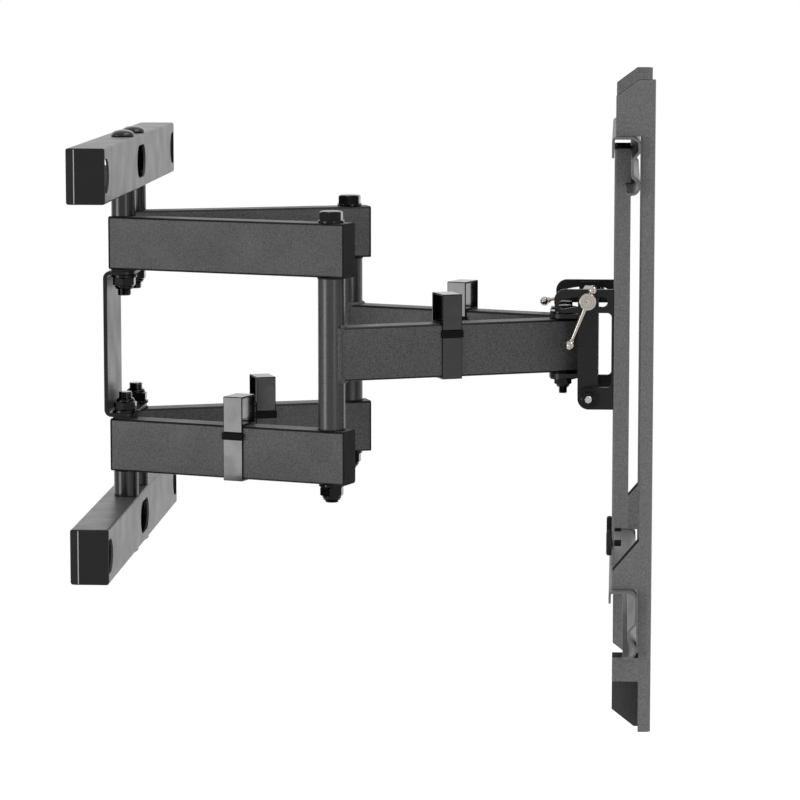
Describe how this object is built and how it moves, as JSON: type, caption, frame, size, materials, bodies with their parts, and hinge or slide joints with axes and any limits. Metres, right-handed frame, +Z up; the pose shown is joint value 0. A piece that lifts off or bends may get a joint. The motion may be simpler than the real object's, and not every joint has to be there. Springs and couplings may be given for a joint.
{
  "type": "swivel tv wall mount",
  "caption": "Wall mount for a flat television: tubular wall rails, paired folding arms, a head that swivels and tilts, clamping levers and upright brackets on cross rails.",
  "frame": {"origin": "On the wall's surface, at the centre of the wall rails' bolt pattern", "axes": "X points away from the wall towards the television, Y runs along the wall rails, Z points up"},
  "size_m": [0.6256, 0.575, 0.71],
  "materials": {
    "black_coat": "fine-textured satin black powder coat",
    "black_plastic": "moulded black plastic, satin",
    "black_steel": "black-finished steel fasteners",
    "chrome": "polished plating",
    "zinc_steel": "bright zinc-plated steel"
  },
  "bodies": {
    "wall_frame": {"wall_rail_upper": "black_coat", "wall_rail_lower": "black_coat", "rail_end_plugs": "black_plastic", "spacer_sleeves": "black_coat", "wall_pivot_bolts": "black_steel", "slip_washers": "black_plastic", "wall_pivot_washers": "black_steel", "wall_pivot_nuts": "black_steel", "wall_bracket": "black_coat"},
    "arm_near": {"arm_near_upper": "black_coat", "arm_near_lower": "black_coat", "arm_plugs_near": "black_plastic", "elbow_bolt_near": "black_steel", "elbow_washers_near": "black_steel", "elbow_nut_near": "black_steel", "clip_strap_arm_near": "black_plastic", "clip_cover_arm_near": "black_plastic"},
    "forearm_near": {"forearm_near": "black_coat", "forearm_plug_near": "black_plastic", "elbow_bushes_near": "black_plastic", "clip_strap_forearm_near": "black_plastic", "clip_cover_forearm_near": "black_plastic"},
    "arm_far": {"arm_far_upper": "black_coat", "arm_far_lower": "black_coat", "arm_plugs_far": "black_plastic", "elbow_bolt_far": "black_steel", "elbow_washers_far": "black_steel", "elbow_nut_far": "black_steel", "clip_strap_arm_far": "black_plastic", "clip_cover_arm_far": "black_plastic"},
    "forearm_far": {"forearm_far": "black_coat", "forearm_plug_far": "black_plastic", "elbow_bushes_far": "black_plastic", "clip_strap_forearm_far": "black_plastic", "clip_cover_forearm_far": "black_plastic"},
    "head_pins": {"head_pivot_bolts": "black_steel", "head_pivot_washers": "black_steel", "head_pivot_nuts": "black_steel"},
    "head": {"head_bracket": "black_coat", "tilt_pivot_bolts": "zinc_steel", "tilt_pivot_washers": "black_steel", "tilt_pivot_nuts": "black_steel", "clamp_studs": "zinc_steel"},
    "tilt_frame": {"tilt_cheek_near": "black_coat", "tilt_cheek_far": "black_coat", "channel_plate": "black_coat", "tv_rail_upper": "black_coat", "tv_rail_lower": "black_coat"},
    "lever_near": {"lever_near": "chrome"},
    "lock_knob_near": {"lock_knob_near": "black_plastic"},
    "tv_bracket_near": {"tv_bracket_near": "black_coat"},
    "lever_far": {"lever_far": "chrome"},
    "lock_knob_far": {"lock_knob_far": "black_plastic"},
    "tv_bracket_far": {"tv_bracket_far": "black_coat"}
  },
  "joints": [
    {"name": "arm_fold", "type": "hinge", "parent": "wall_frame", "child": "arm_near", "pos_m": [0.0268, -0.0427, 0], "axis": [0, 0, -1], "range_deg": [-12, 40]},
    {"name": "elbow_near", "type": "hinge", "parent": "arm_near", "child": "forearm_near", "pos_m": [0.27016, -0.13046, 0], "axis": [0, 0, 1], "range_deg": [-23.68, 78.7]},
    {"name": "head_pivot", "type": "hinge", "parent": "forearm_near", "child": "head_pins", "pos_m": [0.52494, -0.022, 0], "axis": [0, 0, -1], "range_deg": [-11.68, 38.7]},
    {"name": "arm_fold_far", "type": "hinge", "parent": "wall_frame", "child": "arm_far", "pos_m": [0.0268, 0.0427, 0], "axis": [0, 0, 1], "range_deg": [-12.1, 40.1]},
    {"name": "elbow_far", "type": "hinge", "parent": "arm_far", "child": "forearm_far", "pos_m": [0.27016, 0.13046, 0], "axis": [0, 0, -1], "range_deg": [-23.68, 78.7]},
    {"name": "swivel", "type": "hinge", "parent": "head_pins", "child": "head", "pos_m": [0.52494, 0, 0], "axis": [0, 0, 1], "range_deg": [-8, 8]},
    {"name": "tilt", "type": "hinge", "parent": "head", "child": "tilt_frame", "pos_m": [0.55434, 0, -0.0567], "axis": [0, 1, 0], "range_deg": [-5, 15]},
    {"name": "lever_turn_near", "type": "hinge", "parent": "head", "child": "lever_near", "pos_m": [0.55304, -0.0679, 0.0533], "axis": [0, -1, 0], "range_deg": [0, 60]},
    {"name": "lever_turn_far", "type": "hinge", "parent": "head", "child": "lever_far", "pos_m": [0.55304, 0.0679, 0.0533], "axis": [0, 1, 0], "range_deg": [0, 60]},
    {"name": "knob_turn_near", "type": "hinge", "parent": "tilt_frame", "child": "lock_knob_near", "pos_m": [0.58174, -0.051, -0.223], "axis": [-1, 0, 0], "continuous": true},
    {"name": "knob_turn_far", "type": "hinge", "parent": "tilt_frame", "child": "lock_knob_far", "pos_m": [0.58174, 0.051, -0.223], "axis": [-1, 0, 0], "continuous": true},
    {"name": "bracket_slide_near", "type": "slide", "parent": "tilt_frame", "child": "tv_bracket_near", "axis": [0, 1, 0], "range_m": [0, 0.1]},
    {"name": "bracket_slide_far", "type": "slide", "parent": "tilt_frame", "child": "tv_bracket_far", "axis": [0, -1, 0], "range_m": [0, 0.1]}
  ],
  "couplings": [
    {"joint": "elbow_near", "follows": "arm_fold", "ratio": 1.965},
    {"joint": "head_pivot", "follows": "arm_fold", "ratio": 0.965},
    {"joint": "arm_fold_far", "follows": "arm_fold", "ratio": 1},
    {"joint": "elbow_far", "follows": "arm_fold", "ratio": 1.965}
  ]
}
